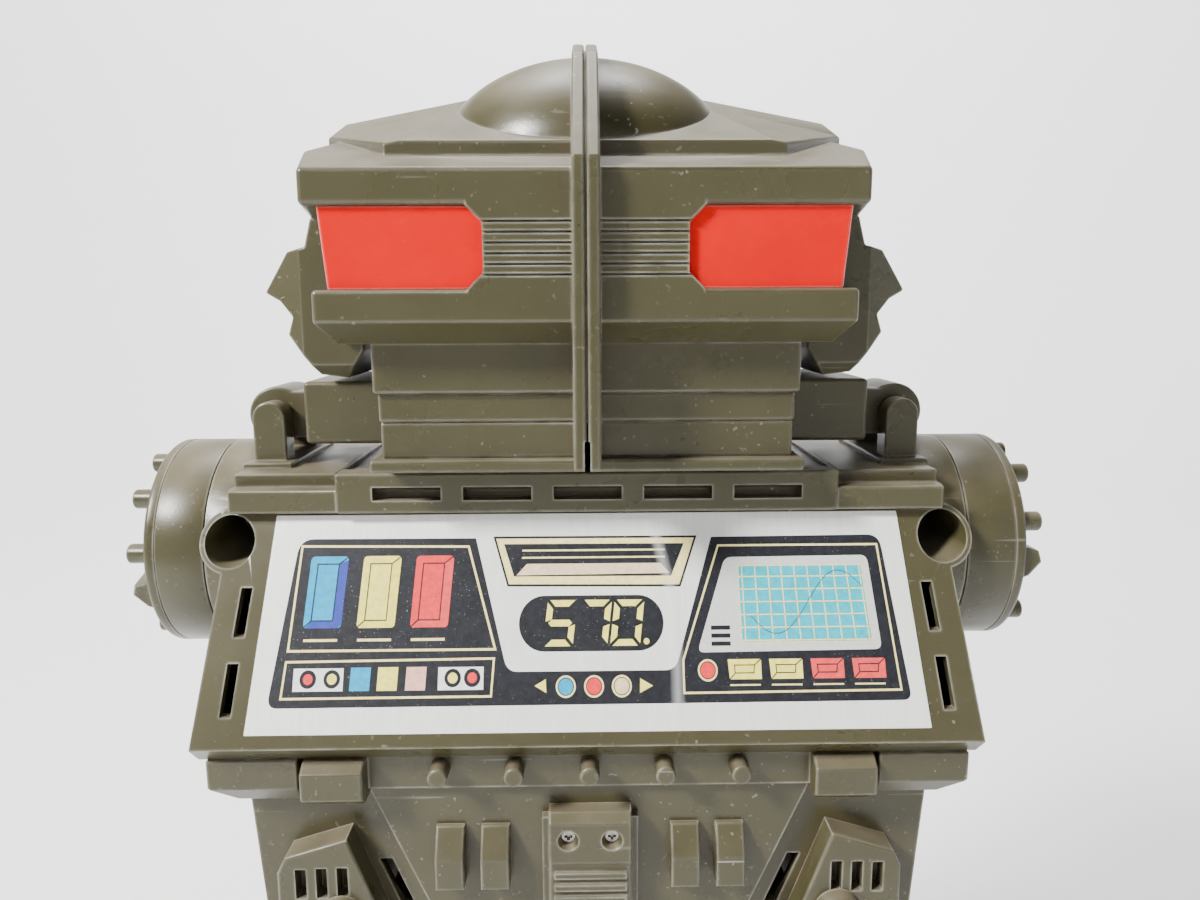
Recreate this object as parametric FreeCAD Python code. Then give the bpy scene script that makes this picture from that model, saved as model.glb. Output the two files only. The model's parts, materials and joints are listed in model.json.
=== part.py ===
"""Battery-operated walking toy robot with a split, hinged head. Millimetres, +Z up, front towards -Y.

The origin is on the floor under the middle of the robot. "left" and "right" are as the viewer sees
them from the front, so left is -X.
"""
import FreeCAD, Part
import math
import os

V = FreeCAD.Vector

# ---- driving dimensions -------------------------------------------------------------------------
WALL = 2.5                 # moulded wall of every shell
GAP = 0.15                 # half of the slit between the two head halves
LOW_GAP = 0.55             # the same below the hinge axis, where the halves swing inwards as they open
RUNNING = 0.05             # radial play of a shaft in a plastic bearing
FLUSH = 0.2                # how far a cutting tool passes the face that it cuts

FOOT_HEIGHT = 24.0
LEG_TOP = 149.0
PELVIS_BOTTOM = 150.0
TORSO_BOTTOM = 168.0
WAIST = 229.0              # where the belly shell meets the chest shell
CHEST_EDGE = 233.4         # foremost edge at the foot of the chest plate
CHEST_TOP = 280.0
DECK_TOP = 283.0
HEAD_BASE = 288.6

SHOULDER_Z = 265.5         # axis of the shoulder drums
DRUM_RADIUS = 24.3
COLLAR_START = 75.6
COLLAR_END = 84.0
DRUM_START = 84.3
DRUM_END = 95.0
CAP_END = 97.6

HINGE_X = 71.7             # axis of each head hinge, parallel to Y
HINGE_Z = 296.6
HINGE_PIN_RADIUS = 1.6
EAR_HALF_WIDTH = 3.7
EAR_FRONT = 14.0
EAR_BACK = 8.0

CHEST_LEAN = 0.44          # how far the chest plate leans back for each millimetre of height
CHEST_FRONT_Y = -46.1      # the chest plate at its foremost edge

SOCKET_X = 76.2            # the two round sockets beside the foil panel
SOCKET_Z = 272.2
SOCKET_RADIUS = 5.3
SOCKET_RING = 6.4
SOCKET_MOUTH_Y = -34.0

AXES = {"x": V(1, 0, 0), "y": V(0, 1, 0), "z": V(0, 0, 1)}


# ---- helpers ------------------------------------------------------------------------------------
def box(x0, x1, y0, y1, z0, z1):
    return Part.makeBox(x1 - x0, y1 - y0, z1 - z0, V(x0, y0, z0))


def outline(points, axis, level):
    """A closed flat outline across an axis; each point gives the other two coordinates in order."""
    if axis == "x":
        corners = [V(level, a, b) for a, b in points]
    elif axis == "y":
        corners = [V(a, level, b) for a, b in points]
    else:
        corners = [V(a, b, level) for a, b in points]
    return Part.makePolygon(corners + corners[:1])


def prism(points, axis, start, end):
    return Part.Face(outline(points, axis, start)).extrude(AXES[axis] * (end - start))


def taper(low_points, high_points, z_low, z_high):
    """A straight-sided solid between two level outlines with the same number of points."""
    rings = [outline(low_points, "z", z_low), outline(high_points, "z", z_high)]
    return Part.makeLoft(rings, True, True)


def rod(x, y, z, radius, length, axis):
    return Part.makeCylinder(radius, length, V(x, y, z), AXES[axis])


def join(*shapes):
    whole = shapes[0]
    for shape in shapes[1:]:
        whole = whole.fuse(shape)
    return whole.removeSplitter()


def take(shape, *tools):
    for tool in tools:
        shape = shape.cut(tool)
    return shape


def shave(shape, point, normal):
    """Removes what lies beyond a plane, on the side that its normal points to."""
    size = 600.0
    tool = Part.makeBox(size, size, size, V(-size / 2, -size / 2, 0))
    tool.Placement = FreeCAD.Placement(V(*point), FreeCAD.Rotation(V(0, 0, 1), V(*normal)))
    return shape.cut(tool)


def soften(shape, radius, wanted=None):
    """Rounds the edges of a simple solid: all of them, or those that a test picks."""
    edges = [edge for edge in shape.Edges if wanted is None or wanted(edge)]
    return shape.makeFillet(radius, edges)


def mirror(shape):
    return shape.mirror(V(0, 0, 0), V(1, 0, 0))


def group(shapes):
    return Part.makeCompound(shapes)


def both_sides(shape):
    return group([shape, mirror(shape)])


def chest_y(z):
    """The front surface of the leaning chest plate at a height."""
    return CHEST_FRONT_Y + CHEST_LEAN * (z - CHEST_EDGE)


# ---- head ---------------------------------------------------------------------------------------
FIN_FRONT = -52.0
JAW_HALF = 41.4
JAW_BACK = 36.0
EYE_LOW = 324.5
EYE_HIGH = 340.0
EYE_TOP = 339.6
EYE_INNER_X = 18.9
EYE_OUTER_X = 49.2
EYE_CORNER = 3.0           # the window's two inner corners are cut off
EYE_SIDE_SLOPE = 0.09      # its outer edge leans in towards the foot
EYE_BED_Y = -45.4          # plane behind the window
FACE_Y = -48.0             # brow, groove plate and cheek share one front plane
EYE_FACE_Y = -46.6
BROW_TOP = 346.2


def head_plan(front, half, side, back):
    """Half of the head seen from above; it widens from the face to the middle of its sides."""
    return [(GAP, front), (half, front), (side, -12), (side, 12), (half, back), (GAP, back)]


def head_lower():
    """The base lip and the three stepped tiers of the jaw, with a fine groove between them."""
    tiers = [(HEAD_BASE, 291.2, 43.4, -39.6), (291.2, 298.6, 41.3, -37.4), (298.6, 304.4, 41.5, -37.9),
             (304.4, 314.6, 42.2, -39.2)]
    blocks = []
    for low, high, half, front in tiers:
        back = JAW_BACK - 37 - front
        blocks.append(soften(box(GAP, half, front, back, low, high), 0.7,
                             lambda edge: edge.CenterOfMass.x > GAP + 1))
    blocks.append(box(GAP, JAW_HALF - 0.8, -36.6, JAW_BACK - 0.6, HEAD_BASE, 314.6))
    return join(*blocks)


def head_cheek():
    """Cheek ledge with an undercut that runs back to the jaw."""
    front, half, side, back = FACE_Y, 50.4, 59.5, 42
    ledge = prism(head_plan(front, half, side, back), "z", 314.3, EYE_LOW)
    undercut_z = 318.6
    ledge = shave(ledge, (0, front, undercut_z), (0, -1, -1.6))
    ledge = shave(ledge, (half, front, undercut_z), (0.97, -0.24, -1))
    ledge = shave(ledge, (side, 0, undercut_z), (1, 0, -1))
    ledge = shave(ledge, (half, back, undercut_z), (0.96, 0.27, -1))
    ledge = shave(ledge, (0, back, undercut_z), (0, 1, -1.6))
    return soften(ledge, 0.9)


def head_eye_band():
    """The band between cheek and brow: a plate with six fine grooves, beside the bed of the window."""
    band = prism(head_plan(EYE_BED_Y, EYE_OUTER_X + 0.2, 52, 38), "z", EYE_LOW - 1, EYE_HIGH + 1)
    band = shave(band, (EYE_OUTER_X + 0.2, EYE_BED_Y, EYE_TOP), (1, -0.078, -EYE_SIDE_SLOPE))
    corner = EYE_INNER_X + EYE_CORNER
    plate = prism([(GAP, EYE_LOW - 1.5), (corner, EYE_LOW - 1.5), (corner, EYE_LOW),
                   (EYE_INNER_X, EYE_LOW + EYE_CORNER), (EYE_INNER_X, EYE_TOP - EYE_CORNER),
                   (corner, EYE_TOP), (corner, EYE_TOP + 2), (GAP, EYE_TOP + 2)], "y", FACE_Y, EYE_BED_Y + 1)
    grooves = []
    for number in range(6):
        low = 326.9 + number * 1.92
        grooves.append(box(1, EYE_INNER_X + 1, FACE_Y - 1, FACE_Y + 0.9, low, low + 0.45))
    return join(band, take(plate, *grooves))


def head_roof():
    """Brow and sloping roof, with a raised panel that swells to a low dome."""
    main = prism(head_plan(FACE_Y, 52, 60, 44), "z", EYE_TOP, 362)
    main = shave(main, (0, FACE_Y, BROW_TOP), (0, -0.31, 1))
    main = shave(main, (0, 44, BROW_TOP), (0, 0.31, 1))
    main = shave(main, (60, 0, 347.6), (1, 0, 1))
    main = soften(main, 1.1)
    panel_plan = [(GAP, -35), (39, -35), (55, -14), (55, 14), (39, 33), (GAP, 33)]
    panel = prism(panel_plan, "z", 347, 368.8)
    panel = shave(panel, (0, -35, 353), (0, -0.445, 1))
    panel = shave(panel, (0, 33, 353), (0, 0.445, 1))
    panel = shave(panel, (55, -14, 357.2), (0.19, -0.37, 1))
    panel = shave(panel, (55, 14, 357.2), (0.19, 0.37, 1))
    panel = soften(panel, 0.8)
    return join(main, panel, head_dome())


def head_dome():
    """Half of a low dome, turned from a quarter of an ellipse."""
    base_z = 351.5
    wide, tall = 34.0, 23.9
    ellipse = Part.Ellipse(V(0, 0, 0), wide, tall)
    ellipse.rotate(FreeCAD.Placement(V(0, 0, 0), FreeCAD.Rotation(V(1, 0, 0), 90)))
    ellipse.translate(V(0, 0, base_z))
    curve = Part.Arc(ellipse, 0, math.pi / 2).toShape()
    ends = sorted((vertex.Point for vertex in curve.Vertexes), key=lambda point: point.x)
    centre = V(0, 0, base_z)
    sides = [Part.makeLine(ends[0], centre), Part.makeLine(centre, ends[1])]
    profile = Part.Face(Part.Wire(Part.__sortEdges__([curve] + sides)))
    dome = profile.revolve(V(0, 0, 0), V(0, 0, 1), 360)
    return dome.common(box(GAP, 50, -50, 50, base_z, 380))


def head_fin():
    """Thin flange that stands out of each half along the slit, from the lip over the roof."""
    low = HEAD_BASE + 2.4
    edge = [(FIN_FRONT, low), (FIN_FRONT, 347.6), (-31, 370), (-14, 376), (0, 377.8),
            (14, 376), (31, 369), (48, 349), (48, low)]
    return soften(prism(edge, "x", GAP, 2.6), 0.6)


def head_hollow():
    """The space inside one half, open at the slit and at the base."""
    low = box(-1, JAW_HALF - 3.2, -34.2, 33.2, HEAD_BASE - 1, 317)
    cheek = prism([(-1, -43.5), (47.5, -43.5), (56, -11), (56, 11), (47.5, 38.5), (-1, 38.5)],
                  "z", 319.4, EYE_LOW - WALL)
    chin = taper([(-1, -34.2), (38, -34.2), (48, -10), (48, 10), (38, 33.2), (-1, 33.2)],
                 [(-1, -41.5), (45, -41.5), (54, -10), (54, 10), (45, 37), (-1, 37)], 316.6, 319.6)
    middle = prism([(-1, -42.4), (45.5, -42.4), (48.6, -11), (48.6, 11), (46.5, 35.5), (-1, 35.5)],
                   "z", 319, 343.4)
    roof_low = [(-1, -37.2), (48, -37.2), (56, -11), (56, 11), (48, 37.2), (-1, 37.2)]
    roof_high = [(-1, -5), (38, -5), (38, -3), (38, 3), (38, 5), (-1, 5)]
    roof = taper(roof_low, roof_high, 343.4, 361)
    return join(low, cheek, chin, middle, roof)


def head_outer():
    """One half as a closed form, cut back along the slit below the hinge axis."""
    outer = join(head_lower(), head_cheek(), head_eye_band(), head_roof(), head_fin())
    return take(outer, box(-1, LOW_GAP, -60, 60, HEAD_BASE - 1, HINGE_Z))


def head_shell(outer):
    light_opening = box(EYE_INNER_X + 3, 44.5, EYE_BED_Y - 1, -42, EYE_LOW + 3, EYE_HIGH - 3)
    return take(outer, head_hollow(), light_opening)


def eye_window():
    """Red window, cut off at its two inner corners and open to the side of the head."""
    foot = EYE_OUTER_X - EYE_SIDE_SLOPE * (EYE_TOP - EYE_LOW)
    corner = EYE_INNER_X + EYE_CORNER
    points = [(EYE_INNER_X, EYE_LOW + EYE_CORNER), (corner, EYE_LOW), (foot, EYE_LOW), (EYE_OUTER_X, EYE_TOP),
              (corner, EYE_TOP), (EYE_INNER_X, EYE_TOP - EYE_CORNER)]
    return prism(points, "y", EYE_FACE_Y, EYE_BED_Y)


def head_wing(outer):
    """Ridged fairing on the side of the head, pointed in the middle."""
    profile = [(48, 340.5), (58.3, 340), (59.8, 334), (64, 333), (70.3, 324.4), (66.4, 322.5), (63.4, 319.2),
               (64.8, 315.4), (58, 306.8), (52, 306), (48, 312)]
    wing = prism(profile, "y", -20, 22)
    wing = shave(wing, (61, -20, 324), (0.55, -1, 0))
    wing = shave(wing, (61, 22, 324), (0.55, 1, 0))
    wing = shave(wing, (62, -20, 309), (0, -1, -0.7))
    return take(soften(wing, 0.6), outer)


def hinge_arm():
    """Block on the side of the jaw that carries the hinge knuckle."""
    inner = JAW_HALF - 0.8
    block = soften(box(inner, 63, -16, 16, 291, 305), 1.0)
    neck = box(60, HINGE_X, -EAR_BACK + 0.5, EAR_BACK - 0.5, 291.4, 302)
    knuckle = rod(HINGE_X, -EAR_BACK + 0.5, HINGE_Z, 6.6, 2 * EAR_BACK - 1, "y")
    arm = join(block, neck, soften(knuckle, 0.6, lambda edge: edge.Closed and edge.Length > 30))
    bearing = rod(HINGE_X, -EAR_BACK, HINGE_Z, HINGE_PIN_RADIUS + RUNNING, 2 * EAR_BACK, "y")
    return take(arm, bearing, head_lower())


def hinge_pin():
    """Pin driven in from the back; its hole stops short of the front ear's face."""
    return rod(HINGE_X, -EAR_FRONT + 1.6, HINGE_Z, HINGE_PIN_RADIUS, 2 * EAR_FRONT - 1.2, "y")


def turret_post():
    flange = rod(0, 0, DECK_TOP, 16, 3, "z")
    return join(flange, rod(0, 0, DECK_TOP, 5, 20, "z"))


def turret_body():
    """Round turret inside the head; it turns on the fixed post."""
    drum = rod(0, 0, 297, 22, 20, "z")
    neck = rod(0, 0, 317, 9, 6, "z")
    socket = rod(0, 0, 296, 5 + RUNNING, 8, "z")
    cheeks = box(-14, 14, -26, 0, 303, 313)
    return take(join(drum, neck, cheeks), socket, *[barrel_bore(x) for x in (-7.5, 7.5)])


def barrel_bore(x):
    return rod(x, -40, 308, 2.6, 26, "y")


def turret_barrels():
    barrels = []
    for x in (-7.5, 7.5):
        tube = join(rod(x, -29.5, 308, 2.6, 15.5, "y"), rod(x, -30, 308, 3.3, 4, "y"))
        barrels.append(take(tube, rod(x, -31, 308, 1.3, 10, "y")))
    return group(barrels)


def head_lamp():
    bulb = Part.makeSphere(5, V(0, 0, 332))
    return join(bulb, rod(0, 0, 323, 3.6, 7, "z"))


# ---- shoulders and chest ------------------------------------------------------------------------
def ear(y0, y1):
    """Upright hinge ear with a round top, on a wider foot."""
    post = box(HINGE_X - EAR_HALF_WIDTH, HINGE_X + EAR_HALF_WIDTH, y0, y1, DECK_TOP - 1, HINGE_Z)
    ear_shape = join(post, rod(HINGE_X, y0, HINGE_Z, EAR_HALF_WIDTH, y1 - y0, "y"))
    return soften(ear_shape, 0.6, lambda edge: edge.BoundBox.ZMin > DECK_TOP)


def shoulder_deck():
    half = 77.0
    plate = soften(box(-half, half, -26.5, 30, CHEST_TOP, DECK_TOP), 0.6)
    step = soften(box(-56, 56, -24, 26, DECK_TOP - 2, DECK_TOP + 1.6), 0.5)
    rails = [soften(box(x0, x0 + 22, -24, 24, DECK_TOP - 1, DECK_TOP + 2.8), 0.5) for x0 in (54.4, -76.4)]
    pads = [soften(box(x0, x0 + 11, -17, 17, DECK_TOP - 1, DECK_TOP + 4), 0.5) for x0 in (66, -77)]
    deck = join(plate, step, *rails, *pads)
    for y0, y1 in ((-EAR_FRONT, -EAR_BACK), (EAR_BACK, EAR_FRONT)):
        deck = join(deck, ear(y0, y1), mirror(ear(y0, y1)))
    well = rod(0, 0, CHEST_TOP - 1, 18, 8, "z")
    floor = rod(0, 0, CHEST_TOP, 18, DECK_TOP - CHEST_TOP, "z")
    deck = join(take(deck, well), floor)
    return take(deck, hinge_pin(), mirror(hinge_pin()), *[collar_space(side) for side in (-1, 1)])


def collar_space(side):
    """Room for a shoulder collar or drum, which stands higher than the deck."""
    start = COLLAR_START if side > 0 else -COLLAR_END
    return rod(start, 0, SHOULDER_Z, DRUM_RADIUS, COLLAR_END - COLLAR_START, "x")


def vent_bar():
    """Upright bar across the neck, with five slots."""
    bar = soften(box(-53.2, 53.2, -30, -24, 278.2, 286.8), 0.6)
    slots = []
    for number in range(-2, 3):
        centre = number * 19.1
        slots.append(box(centre - 7.2, centre + 7.2, -31, -20, 281, 283.8))
    end_plates = [soften(box(x0, x0 + 25, -29.4, -25, 278.2, 283.2), 0.5) for x0 in (-76, 51)]
    bar = take(join(bar, *end_plates), *slots)
    deck_space = box(-77, 77, -26.5, 30, CHEST_TOP, DECK_TOP)
    step_space = box(-56, 56, -24, 26, DECK_TOP, DECK_TOP + 1.6)
    return take(bar, deck_space, step_space, chest_block(0), socket_ring(1), socket_ring(-1))


def chest_block(inset):
    """Closed outer form of the chest front, or its hollow when inset by the wall."""
    front_low = CHEST_FRONT_Y + inset * 1.1
    front_high = chest_y(278) + inset * 1.1
    reach = 0.0 if inset == 0 else FLUSH
    top = CHEST_TOP + 2 * reach
    side = [(front_low, CHEST_EDGE + inset * 0.4), (front_high, 278 + inset * 0.4),
            (front_high, top), (reach, top), (reach, WAIST + inset),
            (front_low + 5, WAIST + inset)]
    block = prism(side, "x", -90, 90)
    block = shave(block, (80.6 - inset, 0, CHEST_EDGE), (1, 0, 0.095))
    return shave(block, (-80.6 + inset, 0, CHEST_EDGE), (-1, 0, 0.095))


def collar():
    """Round shoulder collar at the right; the drum turns against it."""
    disc = rod(COLLAR_START, 0, SHOULDER_Z, DRUM_RADIUS, COLLAR_END - COLLAR_START, "x")
    depth = COLLAR_END - WALL - COLLAR_START
    return take(disc, rod(COLLAR_START, 0, SHOULDER_Z, DRUM_RADIUS - WALL, depth, "x"))


def socket_ring(side):
    """Round boss around a socket, cut off level with the chest plate."""
    ring = rod(side * SOCKET_X, SOCKET_MOUTH_Y, SOCKET_Z, SOCKET_RING, -SOCKET_MOUTH_Y, "y")
    return shave(ring, (0, chest_y(SOCKET_Z), SOCKET_Z), (0, -1, CHEST_LEAN))


def socket_bore(side):
    return rod(side * SOCKET_X, SOCKET_MOUTH_Y - 1, SOCKET_Z, SOCKET_RADIUS, 29, "y")


def chest_slots():
    """Two tall slots in each side of the chest frame, leaning with its edge."""
    slots = []
    for low, high, x_low, x_high in ((253.8, 263.2, 72.6, 71.7), (239.2, 249, 74.0, 73.2)):
        half = 1.15
        points = [(x_low - half, low), (x_low + half, low), (x_high + half, high), (x_high - half, high)]
        slot = prism(points, "y", -50, -26)
        slots += [slot, mirror(slot)]
    return slots


def axle_hole():
    return rod(-99, 0, SHOULDER_Z, 3, 198, "x")


def front_half(shape):
    return shape.common(box(-120, 120, -120, 0, 0, 400))


def back_half(shape):
    return shape.common(box(-120, 120, 0, 120, 0, 400))


def chest_shell():
    shell = take(chest_block(0), chest_block(WALL))
    for side in (collar(), mirror(collar())):
        shell = join(shell, front_half(side))
    for side in (1, -1):
        shell = join(shell, socket_ring(side))
    shell = take(shell, *chest_slots())
    deck_space = box(-77, 77, -26.5, 30, CHEST_TOP, DECK_TOP)
    ledge = box(60.5, 79.4, -42, -30, 218.8, WAIST)
    ledge = shave(ledge, (0, -42, 222.6), (0, -1, -0.8))
    ledge = soften(shave(ledge, (79.4, 0, 222.8), (1, 0, -1.3)), 0.5, lambda edge: edge.BoundBox.YMin < -38)
    ledges = [ledge, mirror(ledge)]
    shell = join(shell, *ledges)
    return take(shell, socket_bore(1), socket_bore(-1), axle_hole(), deck_space, belly_block(0))


def foil_panel():
    """Thin metallised panel on the chest plate."""
    thick = 0.25
    low_z, high_z = 236.0, 277.2
    corners = [(-69.8, low_z), (69.8, low_z), (66.6, high_z), (-66.6, high_z)]
    points = [V(x, chest_y(z), z) for x, z in corners]
    face = Part.Face(Part.makePolygon(points + points[:1]))
    normal = V(0, -1, CHEST_LEAN)
    normal.normalize()
    return face.extrude(normal * thick)


# ---- belly --------------------------------------------------------------------------------------
def belly_block(inset):
    """Closed form of the belly front, which narrows downwards, or its hollow."""
    reach = 0.0 if inset == 0 else FLUSH
    block = box(-90, 90, -35 + inset, reach, TORSO_BOTTOM - reach, WAIST - inset)
    block = shave(block, (72.8 - inset, 0, 212), (1, 0, -0.075))
    return shave(block, (-72.8 + inset, 0, 212), (-1, 0, -0.075))


def belly_tab():
    """Stepped tab under the chest edge, at the right."""
    tab = box(46.5, 59.4, -45, -34, 219.6, WAIST)
    tab = shave(tab, (0, -45, 227.2), (0, -1, 1.4))
    tab = shave(tab, (0, -45, 221.4), (0, -1, -1.3))
    return soften(tab, 0.6)


def belly_shell():
    panel = prism([(-47, 220.6), (47, 220.6), (35, 193.3), (28, 178), (-28, 178), (-35, 193.3)],
                  "y", -38, -34)
    rail = box(-46.5, 46.5, -40, -34, 221.4, WAIST)
    shell = join(belly_block(0), panel, rail, belly_tab(), mirror(belly_tab()))
    vent = prism([(38.4, 190), (41.2, 190), (46.2, 202), (43.4, 202)], "y", -36, -30)
    return take(shell, belly_block(WALL), peg_holes(), screw_holes(), vent, mirror(vent))


PEG_X = [number * 15.6 for number in range(-2, 3)]
PEG_Z = 226.2


def peg_holes():
    return group([rod(x, -40.5, PEG_Z, 1.2, 6, "y") for x in PEG_X])


def belly_pegs():
    """Five round pegs; each has a thinner shank pressed into the rail."""
    pegs = []
    for x in PEG_X:
        peg = rod(x, -45.4, PEG_Z, 2.05, 5.4, "y")
        edges = [edge for edge in peg.Edges if abs(edge.BoundBox.YMax + 45.4) < 0.01]
        peg = peg.makeFillet(0.5, edges)
        pegs.append(join(peg, rod(x, -40, PEG_Z, 1.2, 5, "y")))
    return group(pegs)


def belly_blocks():
    """Four blocks with slanted tops."""
    side = [(-38, 199.2), (-38, 212), (-39.2, 212), (-42.6, 206), (-42.6, 199.2)]
    blocks = []
    for x in (-29.8, -20.2, 20.2, 29.8):
        blocks.append(soften(prism(side, "x", x - 3.05, x + 3.05), 0.5,
                             lambda edge: edge.BoundBox.YMax < -38.5))
    return group(blocks)


def screw_holes():
    return group([rod(x, -45, 210.8, 1.1, 14, "y") for x in (-4.6, 4.6)])


def centre_hatch():
    """Raised box in the middle of the belly: two deep screw holes over a stack of ribs."""
    side = [(-38, 184), (-38, 216.4), (-41.6, 216.4), (-43.4, 214.6), (-43.4, 205.6), (-42.6, 205.2),
            (-42.6, 184)]
    hatch = soften(prism(side, "x", -8.7, 8.7), 0.5, lambda edge: edge.BoundBox.YMax < -38.5)
    ribs = [box(-7.6, 7.6, -43.4, -42, low, low + 1.4) for low in (202, 199.2, 196.4, 193.6, 190.8)]
    side_step = box(-10.2, 10.2, -40.2, -38, 186, 214.5)
    hatch = join(hatch, side_step, *ribs)
    tools = []
    for x in (-4.6, 4.6):
        tools.append(Part.makeCone(2.3, 1.5, 1.4, V(x, -43.5, 210.8), V(0, 1, 0)))
        tools.append(rod(x, -43, 210.8, 1.5, 2.7, "y"))
    return take(hatch, screw_holes(), *tools)


def screw(x, y, z, head_radius, length, into):
    """Pan-head screw along Y; its head faces away from the way it is driven, with a cross recess."""
    head_height = 1.3
    head = rod(x, min(y, y + into * head_height), z, head_radius, head_height, "y")
    shank_start = y + into * head_height
    shank = rod(x, min(shank_start, shank_start + into * length), z, 1.1, length, "y")
    depth = 0.7
    cross_y = min(y - into * 0.1, y + into * depth)
    long_half, short_half = head_radius * 0.6, 0.3
    bars = [box(x - a, x + a, cross_y, cross_y + depth + 0.1, z - b, z + b)
            for a, b in ((long_half, short_half), (short_half, long_half))]
    return take(join(head, shank), *bars)


def hatch_screws():
    return group([screw(x, -41.6, 210.8, 1.4, 7, 1) for x in (-4.6, 4.6)])


POD_FRONT = -41.6


def hip_pod():
    """Pod on the right hip, with a sloping top and three slots."""
    face = [(43, 188), (51.4, 210.6), (64.6, 206.6), (66.4, 203), (66.6, 184), (61, 180), (46, 180)]
    pod = prism(face, "y", POD_FRONT, -35)
    pod = soften(pod, 0.7, lambda edge: edge.BoundBox.YMax < -35.5)
    slots = [box(x - 1.15, x + 1.15, POD_FRONT - 1, POD_FRONT + 4, 197.2, 204.2 - drop)
             for x, drop in ((52.6, 0), (57, 0.1), (61.4, 0.3))]
    return take(pod, rod(53, POD_FRONT - 1, 192.5, 2, 6, "y"), *slots)


def hip_knob():
    """Domed knob with a shank, pressed into the pod."""
    dome = Part.makeSphere(5.4, V(53, POD_FRONT + 0.8, 192.5))
    dome = dome.common(box(40, 66, POD_FRONT - 9, POD_FRONT, 180, 205))
    return join(dome, rod(53, POD_FRONT, 192.5, 2, 4, "y"))


# ---- back and batteries -------------------------------------------------------------------------
BACK_Y = 42.0
DOOR_LOW = 197.0
DOOR_HIGH = 259.0
DOOR_HALF = 33.0
DOOR_HINGE_Y = BACK_Y + 1.0
DOOR_HINGE_Z = DOOR_LOW - 3.4


def back_block(inset):
    reach = 0.0 if inset == 0 else FLUSH
    back = BACK_Y - inset
    top = CHEST_TOP + 2 * reach
    side = [(-reach, TORSO_BOTTOM - reach), (-reach, top), (back - 9, top), (back, 268),
            (back, 180), (back - 6, TORSO_BOTTOM - reach)]
    block = prism(side, "x", -90, 90)
    for sign in (1, -1):
        block = shave(block, (sign * (80.6 - inset), 0, CHEST_EDGE), (sign, 0, 0.095))
        block = shave(block, (sign * (77.3 - inset), 0, WAIST), (sign, 0, -0.106))
        block = shave(block, (sign * (70 - inset), back, 230), (sign, 0.8, 0))
    return block


SCREW_PLACES = [(x, z) for x in (-58, 58) for z in (182, 226, 268)]


def back_shell():
    shell = take(back_block(0), back_block(WALL))
    for side in (collar(), mirror(collar())):
        shell = join(shell, back_half(side))
    doorway = box(-DOOR_HALF, DOOR_HALF, 30, 50, DOOR_LOW, DOOR_HIGH)
    lugs = []
    for x0, x1 in ((-30, -26), (26, 30)):
        lugs.append(rod(x0, DOOR_HINGE_Y, DOOR_HINGE_Z, 2.5, x1 - x0, "x"))
        lugs.append(box(x0, x1, BACK_Y - 1, DOOR_HINGE_Y, DOOR_HINGE_Z - 2.5, DOOR_HINGE_Z + 2.2))
    ribs = [box(x - 1, x + 1, BACK_Y - 1, BACK_Y + 1.2, 184, 262) for x in (-48, -42, 42, 48)]
    posts = [rod(x, 4, z, 3.2, BACK_Y - 6, "y") for x, z in SCREW_PLACES]
    ridge = box(-36, 36, BACK_Y - 1, BACK_Y + 1.5, DOOR_HIGH + 2, DOOR_HIGH + 5)
    shell = join(shell, *lugs, *ribs, *posts, ridge)
    recesses = [rod(x, BACK_Y - 4, z, 3, 8, "y") for x, z in SCREW_PLACES]
    bores = [rod(x, 3, z, 1.1, 50, "y") for x, z in SCREW_PLACES]
    trunnion = rod(-40, DOOR_HINGE_Y, DOOR_HINGE_Z, 1.2 + RUNNING, 80, "x")
    switch_slot = box(46, 62, 30, 50, 250, 254.4)
    deck_space = box(-77, 77, -26.5, 30, CHEST_TOP, DECK_TOP)
    return take(shell, doorway, trunnion, switch_slot, deck_space, axle_hole(), *recesses, *bores)


def back_screws():
    return group([screw(x, BACK_Y - 2.7, z, 2.6, 30, -1) for x, z in SCREW_PLACES])


def battery_door():
    """Door over the battery box: it tilts down on two trunnions and has a ribbed catch."""
    play = 0.4
    half = DOOR_HALF - play
    plate = box(-half, half, BACK_Y - 2.2, BACK_Y + 0.3, DOOR_LOW + play, DOOR_HIGH - play)
    grips = [box(-11, 11, BACK_Y, BACK_Y + 1.5, z, z + 1.1) for z in (247, 249.4, 251.8)]
    arms = [box(x0, x1, BACK_Y - 1, DOOR_HINGE_Y + 1.2, DOOR_HINGE_Z - 1, DOOR_LOW + 4)
            for x0, x1 in ((-25.6, -20), (20, 25.6))]
    pins = [rod(x, DOOR_HINGE_Y, DOOR_HINGE_Z, 1.2, 9.8, "x") for x in (-29.8, 20)]
    return join(plate, *grips, *arms, *pins)


def notch_for_door_arms():
    """Room in the wall under the doorway, which the door's arms swing through."""
    return group([box(x0, x1, BACK_Y - 3, BACK_Y + 5, DOOR_HINGE_Z - 3.4, DOOR_LOW + FLUSH)
                  for x0, x1 in ((-26, -19.6), (19.6, 26))])


CELL_X = [(-22.8 + 15.2 * number) for number in range(4)]
CELL_RADIUS = 7.1
CELL_Y = 28.6


def battery_box():
    outer = box(-32.4, 32.4, 18.4, BACK_Y - WALL - 0.2, DOOR_LOW + 0.2, DOOR_HIGH - 0.2)
    inner = box(-30.9, 30.9, 20, 50, DOOR_LOW + 1.7, DOOR_HIGH - 1.7)
    dividers = [box(x - 0.35, x + 0.35, 19, 24, DOOR_LOW + 1, DOOR_HIGH - 1) for x in (-15.2, 0, 15.2)]
    flanges = [box(-30, 30, BACK_Y - WALL - 1.5, BACK_Y - WALL, z, z + 3.4)
               for z in (DOOR_LOW - 3.2, DOOR_HIGH - 0.2)]
    flanges[0] = take(flanges[0], notch_for_door_arms())
    return join(take(outer, inner), *dividers, *flanges)


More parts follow.
